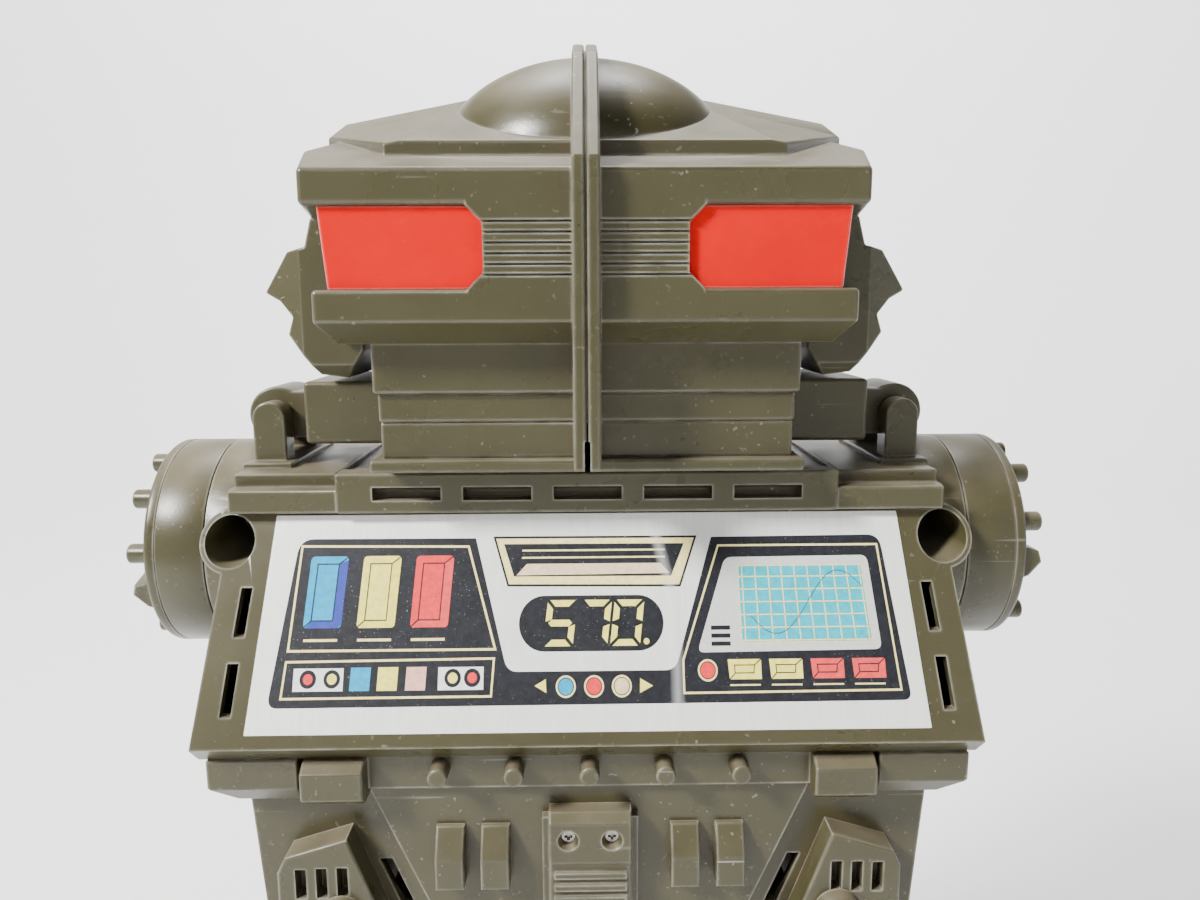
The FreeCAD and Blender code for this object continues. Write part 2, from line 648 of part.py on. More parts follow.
def battery_cells():
    """Four AA cells, side by side, alternately up and down."""
    cells = []
    for number, x in enumerate(CELL_X):
        can = rod(x, CELL_Y, 203, CELL_RADIUS, 49.2, "z")
        nub_z = 252.2 if number % 2 == 0 else 201.7
        cells.append(join(can, rod(x, CELL_Y, nub_z, 2.7, 1.3, "z")))
    return group(cells)


def cell_contacts():
    """Sprung contact at each flat cell end and plain plate at each nub, two to a cell."""
    contacts = []
    for number, x in enumerate(CELL_X):
        spring_up = number % 2 == 1
        low_wall, high_wall = DOOR_LOW + 1.7, DOOR_HIGH - 1.7
        low_plate = box(x - 5, x + 5, CELL_Y - 6, CELL_Y + 6, low_wall, low_wall + 0.4)
        high_plate = box(x - 5, x + 5, CELL_Y - 6, CELL_Y + 6, high_wall - 0.4, high_wall)
        if spring_up:
            cone = Part.makeCone(2, 4.5, 4.7, V(x, CELL_Y, 252.2))
            contacts += [low_plate, join(high_plate, cone)]
        else:
            cone = Part.makeCone(4.5, 2, 3.9, V(x, CELL_Y, 199.1))
            contacts += [join(low_plate, cone), high_plate]
    return group(contacts)


def switch_knob():
    knob = box(50.6, 57.4, BACK_Y - 5, BACK_Y + 3, 250.4, 254)
    flange = box(48.5, 59.5, BACK_Y - 4.6, BACK_Y - 2.9, 248, 256.4)
    grooves = [box(x - 0.3, x + 0.3, BACK_Y + 2.3, BACK_Y + 4, 250, 255) for x in (52, 54, 56)]
    return take(join(knob, flange), *grooves)


def switch_body():
    body = box(42, 66, BACK_Y - 13, BACK_Y - 5.4, 247, 257.4)
    terminals = [box(x - 1, x + 1, BACK_Y - 17, BACK_Y - 13, 251, 253) for x in (47, 54, 61)]
    ends = [box(x0, x0 + 2, BACK_Y - 6, BACK_Y - WALL, 247, 257.4) for x0 in (42, 64)]
    return join(body, *terminals, *ends)


# ---- sound, motor and gears ---------------------------------------------------------------------
def speaker():
    """Small speaker behind the chest plate: basket, magnet and cone."""
    y = -24.0
    z = 254.4
    frame_ring = rod(0, y, z, 22, 2.5, "y")
    basket = Part.makeCone(20, 10, 8, V(0, y + 2.5, z), V(0, 1, 0))
    magnet = rod(0, y + 10.5, z, 11, 6, "y")
    hollow = Part.makeCone(19, 8, 8.5, V(0, y - 0.1, z), V(0, 1, 0))
    bracket = box(-24, 24, y, y + 2.5, WAIST + WALL, 238)
    return take(join(frame_ring, basket, magnet, bracket), hollow)


MODULE = 1.0
PINION_TEETH = 10
CRANK_TEETH = 40
CRANK_Z = 181.0
GEAR_DISTANCE = MODULE * (PINION_TEETH + CRANK_TEETH) / 2 + 0.15
PINION_Z = CRANK_Z + GEAR_DISTANCE
GEAR_START = -4.0
GEAR_END = 1.0
CRANK_ECCENTRIC = 5.0


def gear(teeth, z, first_angle, start, end):
    """Spur gear about an X axis; straight-flanked teeth with a little backlash."""
    pitch_radius = MODULE * teeth / 2
    rings = ((pitch_radius - 1.2 * MODULE, 0.62), (pitch_radius, 0.44), (pitch_radius + 0.85 * MODULE, 0.22))
    step = 2 * math.pi / teeth
    points = []
    for number in range(teeth):
        middle = first_angle + number * step
        flank = [(radius, middle - part * step / 2) for radius, part in rings]
        flank += [(radius, middle + part * step / 2) for radius, part in reversed(rings)]
        points += [(radius * math.cos(angle), z + radius * math.sin(angle)) for radius, angle in flank]
    return prism(points, "x", start, end)


def crank_gear():
    """Large gear; a gap between two teeth points straight up, at the pinion."""
    first = math.pi / 2 + math.pi / CRANK_TEETH
    wheel = gear(CRANK_TEETH, CRANK_Z, first, GEAR_START, GEAR_END)
    windows = []
    for number in range(5):
        angle = 2 * math.pi * number / 5
        windows.append(rod(GEAR_START - 1, 11 * math.cos(angle), CRANK_Z + 11 * math.sin(angle), 3.4, 8, "x"))
    return take(wheel, rod(-10, 0, CRANK_Z, 2.5, 20, "x"), *windows)


def crank_shaft():
    """Steel shaft with a crank disc at each end; the two crank pins are half a turn apart."""
    shaft = rod(-17, 0, CRANK_Z, 2.5, 34, "x")
    parts = [shaft]
    for side in (1, -1):
        disc_start = 13.0 if side > 0 else -16.0
        pin_start = 16.0 if side > 0 else -19.4
        parts.append(rod(disc_start, 0, CRANK_Z, 8, 3, "x"))
        parts.append(rod(pin_start, side * CRANK_ECCENTRIC, CRANK_Z, 2, 3.4, "x"))
    return join(*parts)


def motor_pinion():
    pinion = gear(PINION_TEETH, PINION_Z, -math.pi / 2, GEAR_START - 0.5, GEAR_END + 0.5)
    return join(pinion, rod(-4.5, 0, PINION_Z, 1, 18, "x"))


def motor():
    """Can motor with two flats, a front bearing boss and two terminals."""
    can = rod(11, 0, PINION_Z, 12, 25, "x").common(box(10, 40, -12, 12, PINION_Z - 9.8, PINION_Z + 9.8))
    boss = rod(9.4, 0, PINION_Z, 3, 2, "x")
    terminals = [box(36, 39, y - 0.4, y + 0.4, PINION_Z - 1.5, PINION_Z + 1.5) for y in (-6, 6)]
    bearing = rod(9, 0, PINION_Z, 1 + RUNNING, 6, "x")
    return take(join(can, boss, *terminals), bearing)


def gearbox_plates():
    """Two side plates on four spacers, screwed to the inside of the belly shell."""
    front = -35 + WALL
    profile = [(front, 172), (front, 222), (14, 222), (14, 196), (26, 190), (26, 172)]
    plates = [prism(profile, "x", x0, x1) for x0, x1 in ((-9, -7), (4, 6))]
    spacers = [rod(-8, y, z, 2.4, 13, "x") for y, z in ((-27, 217), (-27, 176), (12, 217), (23, 176))]
    tongue = box(-9, 40, -30, 13, 218.5, 220)
    frame = join(*plates, *spacers, tongue)
    clamp = box(11, 30, -13.5, 13.5, PINION_Z - 11.8, 219).cut(motor_space())
    frame = join(frame, clamp)
    shaft_holes = [rod(-10, 0, CRANK_Z, 2.5 + RUNNING, 20, "x"), rod(-10, 0, PINION_Z, 3, 20, "x")]
    return take(frame, *shaft_holes, motor_space())


def motor_space():
    can = rod(11, 0, PINION_Z, 12, 29, "x").common(box(10, 41, -12, 12, PINION_Z - 9.8, PINION_Z + 9.8))
    return join(can, rod(9.4, 0, PINION_Z, 3, 2, "x"))


# ---- shoulder drums -----------------------------------------------------------------------------
def drum():
    """Right shoulder drum, a cup that turns on the axle."""
    cup = rod(DRUM_START, 0, SHOULDER_Z, DRUM_RADIUS, DRUM_END - DRUM_START, "x")
    hollow = rod(DRUM_START + WALL, 0, SHOULDER_Z, DRUM_RADIUS - WALL, 20, "x")
    hub = rod(DRUM_START, 0, SHOULDER_Z, 6, DRUM_END - DRUM_START, "x")
    bore = rod(80, 0, SHOULDER_Z, 3 + RUNNING, 20, "x")
    return take(join(take(cup, hollow), hub), bore)


STUD_RING = 20.0
STUD_HEIGHT = 4.6
STUD_STEP = 36


def drum_cap():
    """Outer cap of the right drum: rounded rim, nine round studs, one pointed tooth and a hub."""
    disc = rod(DRUM_END, 0, SHOULDER_Z, DRUM_RADIUS, CAP_END - DRUM_END, "x")
    disc = soften(disc, 1.2, lambda edge: edge.Closed and edge.BoundBox.XMin > CAP_END - 0.01)
    plate = rod(CAP_END - 1, 0, SHOULDER_Z, 15, 2.5, "x")
    plate = soften(plate, 0.6, lambda edge: edge.Closed and edge.BoundBox.XMin > CAP_END)
    parts = [disc, plate]
    for number in range(9):
        angle = math.radians(21 + STUD_STEP * number)
        stud = rod(CAP_END - 1, -STUD_RING * math.cos(angle), SHOULDER_Z + STUD_RING * math.sin(angle),
                   2.2, STUD_HEIGHT + 1, "x")
        parts.append(soften(stud, 0.6, lambda edge: edge.BoundBox.XMin > CAP_END))
    tooth = prism([(CAP_END - 1, -5.5), (CAP_END + 1.5, -4.6), (CAP_END + 4.2, -1.4), (CAP_END + 3.4, 1.2),
                   (CAP_END - 1, 2.6)], "y", -22.5, -16)
    tooth.translate(V(0, 0, SHOULDER_Z))
    tooth = soften(tooth, 0.5)
    hub = soften(rod(CAP_END, 0, SHOULDER_Z, 6, 4, "x"), 0.8, lambda edge: edge.BoundBox.XMin > CAP_END + 1)
    axle_end = rod(DRUM_END - 1, 0, SHOULDER_Z, 3 + RUNNING, 3.2, "x")
    return take(join(*parts, tooth, hub), axle_end)


def left_drum_cap():
    """Mirror image of the right cap, left standing a little further round."""
    cap = mirror(drum_cap())
    return cap.rotate(V(0, 0, SHOULDER_Z), V(1, 0, 0), 16)


def drum_axle():
    return rod(-96, 0, SHOULDER_Z, 3, 192, "x")


# ---- legs ---------------------------------------------------------------------------------------
LEG_INNER = 5.0
LEG_OUTER = 60.0
RAIL_X = (28.0, 50.0)
RAIL_Z = 158.0
RAIL_RADIUS = 2.0


def pelvis():
    """Open frame under the torso; the legs' guide rods run through its front and back."""
    frame = box(-64, 64, -33, 33, PELVIS_BOTTOM, TORSO_BOTTOM)
    frame = take(frame, box(-61, 61, -30, 30, PELVIS_BOTTOM - 1, TORSO_BOTTOM + 1))
    belt = box(-66, 66, -34.5, 35.5, 162, TORSO_BOTTOM)
    belt = take(belt, box(-61, 61, -30, 30, 160, 170))
    buckle = box(-15, 15, -37.5, -34, 155, 167)
    frame = join(frame, belt, buckle)
    return take(frame, *guide_rod_solids())


def guide_rod_solids():
    rods = []
    for x in RAIL_X:
        for side in (1, -1):
            rods.append(rod(side * x, -32, RAIL_Z, RAIL_RADIUS, 64, "y"))
    return rods


def leg_slider():
    """Slide on top of the right leg: two bored lugs, and a yoke plate with a slot for the crank pin."""
    base = box(20, 58, -20, 20, LEG_TOP, 152)
    lugs = [box(x - 4.5, x + 4.5, -18, 18, LEG_TOP, 163.5) for x in RAIL_X]
    yoke = box(20, 23, -13, 13, LEG_TOP, 192)
    slot = box(19, 24, -2.3, 2.3, 172, 190)
    bores = [rod(x, -25, RAIL_Z, RAIL_RADIUS + RUNNING, 50, "y") for x in RAIL_X]
    return take(join(base, yoke, *lugs), slot, *bores)


def leg():
    """Right leg: a thigh, a wide knee guard and a shin, open at the top and the bottom."""
    thigh = box(LEG_INNER, LEG_OUTER, -28, 30, 104, LEG_TOP)
    shin_low = [(LEG_INNER - 0.5, -33), (LEG_OUTER + 3, -33), (LEG_OUTER + 3, 34), (LEG_INNER - 0.5, 34)]
    shin_high = [(LEG_INNER, -29), (LEG_OUTER + 1, -29), (LEG_OUTER + 1, 31), (LEG_INNER, 31)]
    shin = taper(shin_low, shin_high, FOOT_HEIGHT, 104)
    guard = prism([(8, 92), (14, 118), (51, 118), (57, 92), (51, 84), (14, 84)], "y", -35.5, -25)
    guard = shave(guard, (0, -35.5, 112), (0, -1, 1))
    rib_low = [box(14, 51, -35.4, -27, z, z + 2.4) for z in (40, 46, 52, 58, 64)]
    shin_panel = prism([(11, 36), (12, 76), (53, 76), (54, 36)], "y", -34, -27)
    side_rail = box(LEG_OUTER - 1, LEG_OUTER + 4.4, -12, 14, 40, 96)
    side_rail = shave(side_rail, (LEG_OUTER + 4.4, 0, 90), (1, 0, 0.7))
    solid = join(thigh, shin, guard, shin_panel, side_rail, *rib_low)
    thigh_space = box(LEG_INNER + WALL, LEG_OUTER - WALL, -28 + WALL, 30 - WALL, 100, LEG_TOP - WALL)
    shin_space = taper([(x + a * WALL, y + b * WALL) for (x, y), a, b in
                        zip(shin_low, (1, -1, -1, 1), (1, 1, -1, -1))],
                       [(x + a * WALL, y + b * WALL) for (x, y), a, b in
                        zip(shin_high, (1, -1, -1, 1), (1, 1, -1, -1))], FOOT_HEIGHT, 104)
    groove_tools = [box(LEG_INNER - 2, LEG_OUTER + 2, -29, -27.4, z, z + 0.8) for z in (126, 136)]
    bottom = box(LEG_INNER, LEG_OUTER, -28, 28, FOOT_HEIGHT - 1, FOOT_HEIGHT + 0.1)
    return take(solid, thigh_space, shin_space, bottom, *groove_tools)


FOOT_INNER = 3.0
FOOT_OUTER = 70.0
FOOT_LENGTH = 112.0
SOLE = 3.0
ROLLER_X = (FOOT_INNER + FOOT_OUTER) / 2
ROLLER_Y = 34.0
ROLLER_RADIUS = 7.0
ROLLER_HALF = 6.0
ROLLER_AXLE = 1.6


def foot_plan(inset):
    """Foot outline with its four corners cut."""
    x0, x1 = FOOT_INNER + inset, FOOT_OUTER - inset
    y0, y1 = -FOOT_LENGTH / 2 + inset, FOOT_LENGTH / 2 - inset
    corner = 7.0
    return [(x0 + corner, y0), (x1 - corner, y0), (x1, y0 + corner), (x1, y1 - corner),
            (x1 - corner, y1), (x0 + corner, y1), (x0, y1 - corner), (x0, y0 + corner)]


def foot():
    """Right foot cover: an upright skirt and a sloping instep."""
    skirt = prism(foot_plan(0), "z", SOLE, 13)
    instep = taper(foot_plan(1), [(8, -37), (60, -37), (64, -34), (64, 35), (60, 38), (8, 38),
                                  (4, 35), (4, -34)], 13, FOOT_HEIGHT)
    ribs = [box(x - 2, x + 2, -54.6, -36, 11, 18.6) for x in (22, 36.5, 51)]
    ribs = [shave(rib, (0, -54.6, 14.6), (0, -0.5, 1)) for rib in ribs]
    hollow = prism(foot_plan(WALL), "z", SOLE - 1, 13)
    upper = taper(foot_plan(WALL + 1), [(10, -33), (58, -33), (61, -31), (61, 32), (58, 34), (10, 34),
                                        (7, 32), (7, -31)], 13, FOOT_HEIGHT - WALL)
    return take(join(skirt, instep, *ribs), hollow, upper)


def sole():
    """Right sole: a flat plate with bearing lugs for the two rollers."""
    plate = prism(foot_plan(0), "z", 0, SOLE)
    lugs = []
    tools = []
    for y in (-ROLLER_Y, ROLLER_Y):
        for x in (ROLLER_X - ROLLER_HALF - 3.6, ROLLER_X + ROLLER_HALF + 0.6):
            lugs.append(box(x, x + 3, y - 4, y + 4, SOLE - 1, 11))
        window = box(ROLLER_X - ROLLER_HALF - 0.6, ROLLER_X + ROLLER_HALF + 0.6, y - ROLLER_RADIUS - 0.8,
                     y + ROLLER_RADIUS + 0.8, -1, SOLE + 1)
        bearing = rod(ROLLER_X - 15, y, ROLLER_RADIUS, ROLLER_AXLE + RUNNING, 30, "x")
        tools += [window, bearing]
    return take(join(plate, *lugs), *tools)


def roller(y):
    """Ribbed foot roller, moulded in one piece with its two stub axles."""
    body = rod(ROLLER_X - ROLLER_HALF, y, ROLLER_RADIUS, ROLLER_RADIUS - 0.6, 2 * ROLLER_HALF, "x")
    bands = [rod(x, y, ROLLER_RADIUS, ROLLER_RADIUS, 2.4, "x")
             for x in (ROLLER_X - 6, ROLLER_X - 1.2, ROLLER_X + 3.6)]
    axle = rod(ROLLER_X - ROLLER_HALF - 4, y, ROLLER_RADIUS, ROLLER_AXLE, 2 * ROLLER_HALF + 8, "x")
    return join(body, axle, *bands)


# ---- the whole robot ----------------------------------------------------------------------------
def paired(name, shape):
    """Two nodes from the right-hand shape: itself and its mirror image."""
    return {"right_" + name: shape, "left_" + name: mirror(shape)}


def robot():
    outer = head_outer()
    nodes = {}
    nodes.update(paired("head_shell", head_shell(outer)))
    nodes.update(paired("head_wing", head_wing(outer)))
    nodes.update(paired("eye_window", eye_window()))
    nodes.update(paired("hinge_arm", hinge_arm()))
    nodes["hinge_pins"] = both_sides(hinge_pin())
    nodes["turret_post"] = turret_post()
    nodes["turret_body"] = turret_body()
    nodes["turret_barrels"] = turret_barrels()
    nodes["head_lamp"] = head_lamp()
    nodes["shoulder_deck"] = shoulder_deck()
    nodes["vent_bar"] = vent_bar()
    nodes["chest_shell"] = chest_shell()
    nodes["foil_panel"] = foil_panel()
    nodes["belly_shell"] = belly_shell()
    nodes["belly_pegs"] = belly_pegs()
    nodes["belly_blocks"] = belly_blocks()
    nodes["centre_hatch"] = centre_hatch()
    nodes["hatch_screws"] = hatch_screws()
    nodes.update(paired("hip_pod", hip_pod()))
    nodes["hip_knobs"] = both_sides(hip_knob())
    nodes["back_shell"] = take(back_shell(), notch_for_door_arms())
    nodes["back_screws"] = back_screws()
    nodes["battery_door"] = battery_door()
    nodes["battery_box"] = battery_box()
    nodes["battery_cells"] = battery_cells()
    nodes["cell_contacts"] = cell_contacts()
    nodes["switch_knob"] = switch_knob()
    nodes["switch_body"] = switch_body()
    nodes["speaker"] = speaker()
    nodes["motor"] = motor()
    nodes["motor_pinion"] = motor_pinion()
    nodes["gearbox_plates"] = gearbox_plates()
    nodes["crank_gear"] = crank_gear()
    nodes["crank_shaft"] = crank_shaft()
    nodes.update(paired("drum", drum()))
    nodes["right_drum_cap"] = drum_cap()
    nodes["left_drum_cap"] = left_drum_cap()
    nodes["drum_axle"] = drum_axle()
    nodes["pelvis"] = pelvis()
    nodes["leg_guide_rods"] = group(guide_rod_solids())
    nodes.update(paired("leg_slider", leg_slider()))
    nodes.update(paired("leg", leg()))
    nodes.update(paired("foot", foot()))
    nodes.update(paired("sole", sole()))
    nodes.update(paired("front_roller", roller(-ROLLER_Y)))
    nodes.update(paired("rear_roller", roller(ROLLER_Y)))
    return nodes


def main():
    os.makedirs("parts", exist_ok=True)
    for name, shape in robot().items():
        shape.exportStep("parts/" + name + ".step")
        print(name, "solids", len(shape.Solids), "valid", shape.isValid(), round(shape.Volume))


main()
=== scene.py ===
"""Looks of the walking toy robot: materials, graphics on the foil, the sheet that shades its slit, light and
camera.
"""

import json
import math

import bmesh
import bpy
from mathutils import Matrix, Vector


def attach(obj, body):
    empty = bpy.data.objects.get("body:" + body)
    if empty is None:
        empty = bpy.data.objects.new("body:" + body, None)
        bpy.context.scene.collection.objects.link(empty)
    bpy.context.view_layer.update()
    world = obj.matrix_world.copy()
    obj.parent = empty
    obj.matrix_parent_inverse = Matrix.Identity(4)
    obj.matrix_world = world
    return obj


MM = 0.001

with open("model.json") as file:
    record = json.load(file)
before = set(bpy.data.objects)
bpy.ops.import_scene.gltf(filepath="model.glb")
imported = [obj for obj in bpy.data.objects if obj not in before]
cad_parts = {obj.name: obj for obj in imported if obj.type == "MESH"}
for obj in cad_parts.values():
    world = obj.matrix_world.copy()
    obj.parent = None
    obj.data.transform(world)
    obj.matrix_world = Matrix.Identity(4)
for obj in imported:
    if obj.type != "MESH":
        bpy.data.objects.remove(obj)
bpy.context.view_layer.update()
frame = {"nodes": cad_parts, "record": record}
nodes = frame["nodes"]


def mesh_object(name, mesh, material):
    """Turns a finished bmesh into an object of the scene, with one material."""
    data = bpy.data.meshes.new(name)
    mesh.to_mesh(data)
    mesh.free()
    data.materials.append(material)
    made = bpy.data.objects.new(name, data)
    bpy.context.scene.collection.objects.link(made)
    return made


# ---- camera, light and stage; lengths in metres -------------------------------------------------
CAMERA_PLACE = (-0.0002, -0.216, 0.322)
CAMERA_PITCH = 9.3         # degrees below level
CAMERA_YAW = -0.87
CAMERA_ROLL = 0.27
CAMERA_LENS = 27.0
SENSOR_WIDTH = 36.0
STAGE_RADIUS = 1.6         # flat part of the floor
STAGE_CURVE = 0.9          # radius of the curve from floor to wall
STAGE_TOP = 1.6
STAGE_SIDES = 48
STAGE_STEPS = 8            # steps of the curve


def add_camera():
    data = bpy.data.cameras.new("camera")
    data.lens = CAMERA_LENS
    data.sensor_width = SENSOR_WIDTH
    data.clip_start = 0.005
    camera = bpy.data.objects.new("camera", data)
    tilt = math.pi / 2 - math.radians(CAMERA_PITCH)
    turn = Matrix.Rotation(math.radians(CAMERA_YAW), 4, "Z") @ Matrix.Rotation(tilt, 4, "X")
    turn = turn @ Matrix.Rotation(-math.radians(CAMERA_ROLL), 4, "Z")
    camera.matrix_world = Matrix.Translation(CAMERA_PLACE) @ turn
    bpy.context.scene.collection.objects.link(camera)
    bpy.context.scene.camera = camera


def add_area_light(name, place, target, size, power, colour):
    data = bpy.data.lights.new(name, "AREA")
    data.shape = "DISK"
    data.size = size
    data.energy = power
    data.color = colour
    light = bpy.data.objects.new(name, data)
    light.location = place
    aim = Vector(target) - Vector(place)
    light.rotation_euler = aim.to_track_quat("-Z", "Y").to_euler()
    bpy.context.scene.collection.objects.link(light)


def add_lights():
    add_area_light("key", (-0.95, -0.70, 1.15), (0, 0, 0.27), 0.30, 54, (1.0, 0.985, 0.95))
    add_area_light("fill", (0.9, -1.2, 0.5), (0, 0, 0.25), 1.2, 0.15, (1.0, 0.97, 0.92))
    add_area_light("top", (-0.3, 0.25, 1.5), (0, 0, 0.3), 0.8, 4, (1.0, 1.0, 1.0))
    add_area_light("wall", (0.0, 0.9, 2.2), (0, 2.4, 0.5), 1.4, 115, (1.0, 1.0, 1.0))
    world = bpy.data.worlds.new("studio")
    world.use_nodes = True
    background = world.node_tree.nodes["Background"]
    background.inputs["Color"].default_value = (0.95, 0.96, 1.0, 1)
    background.inputs["Strength"].default_value = 0.12
    bpy.context.scene.world = world


def add_stage():
    """Pale floor that curves up into a wall, all the way round, so that no view shows its edge."""
    profile = [(STAGE_RADIUS, 0.0)]
    for step in range(1, STAGE_STEPS + 1):
        angle = math.pi / 2 * step / STAGE_STEPS
        profile.append((STAGE_RADIUS + STAGE_CURVE * math.sin(angle), STAGE_CURVE * (1 - math.cos(angle))))
    profile.append((STAGE_RADIUS + STAGE_CURVE, STAGE_TOP))
    mesh = bmesh.new()
    rows = []
    for radius, height in profile:
        row = []
        for number in range(STAGE_SIDES):
            angle = 2 * math.pi * number / STAGE_SIDES
            row.append(mesh.verts.new((radius * math.cos(angle), radius * math.sin(angle), height)))
        rows.append(row)
    mesh.faces.new(rows[0])
    for low, high in zip(rows, rows[1:]):
        for number in range(STAGE_SIDES):
            other = (number + 1) % STAGE_SIDES
            mesh.faces.new((low[number], low[other], high[other], high[number]))
    bmesh.ops.recalc_face_normals(mesh, faces=mesh.faces)
    material = bpy.data.materials.new("floor")
    material.use_nodes = True
    shader = material.node_tree.nodes["Principled BSDF"]
    shader.inputs["Base Color"].default_value = (0.89, 0.89, 0.89, 1)
    shader.inputs["Roughness"].default_value = 0.9
    floor = mesh_object("floor", mesh, material)
    for face in floor.data.polygons:
        face.use_smooth = True


# ---- graphics printed on the foil ---------------------------------------------------------------
PLATE_Y = -46.1            # the chest plate's foremost edge, in mm
PLATE_Z = 233.4
LEAN = 0.44                # how far the plate leans back for each millimetre of height
FOIL_THICKNESS = 0.25
INK_STEP = 0.02            # each printed layer lies this far over the one below
CREASE_X = 18.2            # the fold in the foil, and the height where it bends to the left
CREASE_BEND_Z = 259.0
CREASE_SLOPE = 0.27
CREASE_HALF_WIDTH = 1.6
CORNER_STEPS = 6           # straight pieces in a rounded corner
FINE_LINE = 0.22           # width of the black lines on the tall buttons
SEGMENTS = {"0": "abcdef", "5": "afgcd", "7": "abc"}


def rounded(points, radius):
    """The outline with every corner replaced by a short curve; radius is one value or one per corner."""
    radii = radius if isinstance(radius, list) else [radius] * len(points)
    result = []
    for number, (corner, size) in enumerate(zip(points, radii)):
        here = Vector(corner)
        before = Vector(points[number - 1]) - here
        after = Vector(points[(number + 1) % len(points)]) - here
        start = here + before.normalized() * size
        end = here + after.normalized() * size
        for step in range(CORNER_STEPS + 1):
            t = step / CORNER_STEPS
            result.append(tuple(start * (1 - t) ** 2 + here * 2 * t * (1 - t) + end * t ** 2))
    return result


def disc(x, z, radius, steps=32):
    turns = [2 * math.pi * step / steps for step in range(steps)]
    return [(x + radius * math.cos(turn), z + radius * math.sin(turn)) for turn in turns]


def between(low, high, amount):
    return low + (high - low) * amount


class Print:
    """Flat printed shapes on the leaning foil, as x and height in mm. Each ink becomes one mesh."""

    def __init__(self):
        self.inks = {}
        self.layer = 1

    def at(self, x, z):
        lift = FOIL_THICKNESS + INK_STEP * self.layer
        slant = math.hypot(1, LEAN)
        y = PLATE_Y + LEAN * (z - PLATE_Z) - lift / slant
        return (x * MM, y * MM, (z + lift * LEAN / slant) * MM)

    def shape(self, ink, points):
        mesh = self.inks.setdefault(ink, bmesh.new())
        pairs = zip(points, points[1:] + points[:1])
        area = sum(a[0] * b[1] - b[0] * a[1] for a, b in pairs)
        ordered = points if area > 0 else points[::-1]
        mesh.faces.new([mesh.verts.new(self.at(x, z)) for x, z in ordered])

    def line(self, ink, points, width, closed=True):
        """A line of even width with mitred corners."""
        spots = [Vector(point) for point in points]
        count = len(spots)
        sides = []
        for number, here in enumerate(spots):
            normals = []
            if closed or number > 0:
                normals.append((here - spots[number - 1]).normalized().orthogonal())
            if closed or number < count - 1:
                normals.append((spots[(number + 1) % count] - here).normalized().orthogonal())
            total = sum(normals, Vector((0, 0)))
            offset = total * (width / total.dot(normals[0]) / 2)
            sides.append((tuple(here + offset), tuple(here - offset)))
        for number in range(count if closed else count - 1):
            first, second = sides[number], sides[(number + 1) % count]
            self.shape(ink, [first[0], second[0], second[1], first[1]])

    def rectangle(self, ink, x0, x1, z0, z1, skew=0.0):
        self.shape(ink, [(x0 - skew, z0), (x1 - skew, z0), (x1, z1), (x0, z1)])

    def build(self, finishes):
        for ink, mesh in self.inks.items():
            piece = mesh_object("print_" + ink, mesh, finishes[ink])
            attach(piece, "torso")


def print_black_field(p):
    """The dark field: a panel at each side, joined by a strip under the middle."""
    edge = [(-61.2, 272.5), (-23.9, 272.4), (-16.9, 247.0), (17.9, 247.0), (26.3, 272.3), (62.4, 272.5),
            (66.3, 241.1), (-65.6, 240.8)]
    p.layer = 1
    p.shape("ink_black", rounded(edge, [3.0, 0.2, 2.2, 2.2, 0.2, 2.6, 1.8, 2.2]))


def print_tall_button(p, x, colour, shade):
    """Tall bevelled button, seen a little from the left."""
    width, low, high, skew = 7.9, 255.4, 269.1, 0.9
    foot, head = skew * 0.9, skew * 0.1
    inner_left, inner_right, inner_low, inner_high = x + 1.55, x + width - 1.9, low + 1.4, high - 1.5
    outer = [(x - skew, low), (x + width - skew, low), (x + width, high), (x, high)]
    inner = [(inner_left - foot, inner_low), (inner_right - foot, inner_low),
             (inner_right - head, inner_high), (inner_left - head, inner_high)]
    p.layer = 2
    p.shape(colour, rounded(outer, 0.9))
    p.layer = 3
    bevel = [(outer[0][0] + 0.5, low), (outer[1][0] - 0.6, low), (outer[1][0], low + 0.7),
             (outer[2][0], high - 0.7), inner[2], inner[1], inner[0]]
    p.shape(shade, bevel)
    p.layer = 4
    p.line("ink_black", inner, FINE_LINE)
    p.line("ink_black", [inner[2], (outer[2][0] - 0.25, high - 0.25)], FINE_LINE, closed=False)
    p.line("ink_black", [inner[0], (outer[0][0] + 0.25, low + 0.25)], FINE_LINE, closed=False)


def print_left_panel(p):
    """Three tall buttons with a bar under each, over a row of lights and small squares."""
    p.layer = 2
    p.line("ink_cream", [(-60.6, 271.1), (-25.4, 270.8), (-19.4, 251.2), (-62.1, 251.2)], 0.45)
    p.line("ink_cream", [(-62.3, 249.2), (-19.6, 249.5), (-20.1, 242.6), (-62.9, 242.5)], 0.42)
    buttons = [("ink_blue", "ink_violet"), ("ink_yellow", "ink_straw"), ("ink_red", "ink_rose")]
    for number, (colour, shade) in enumerate(buttons):
        x = -58.5 + number * 11.1
        print_tall_button(p, x, colour, shade)
        p.layer = 2
        p.rectangle("ink_cream", x - 0.6, x + 6.4, 252.9, 253.4)
    for x0, x1, first, second in ((-60.6, -50.4, "ink_red", "ink_yellow"),
                                  (-31.0, -21.7, "ink_yellow", "ink_red")):
        p.layer = 2
        p.rectangle("ink_pale", x0, x1, 243.8, 248.0)
        for x, colour in ((x0 + 3.0, first), (x1 - 2.3, second)):
            p.layer = 3
            p.shape("ink_black", disc(x, 246.0, 1.7))
            p.layer = 4
            p.shape(colour, disc(x, 246.0, 1.0))
    p.layer = 2
    for x, colour in ((-48.9, "ink_blue"), (-43.3, "ink_yellow"), (-37.5, "ink_pink")):
        p.rectangle(colour, x, x + 4.1, 243.8, 248.1, skew=0.2)


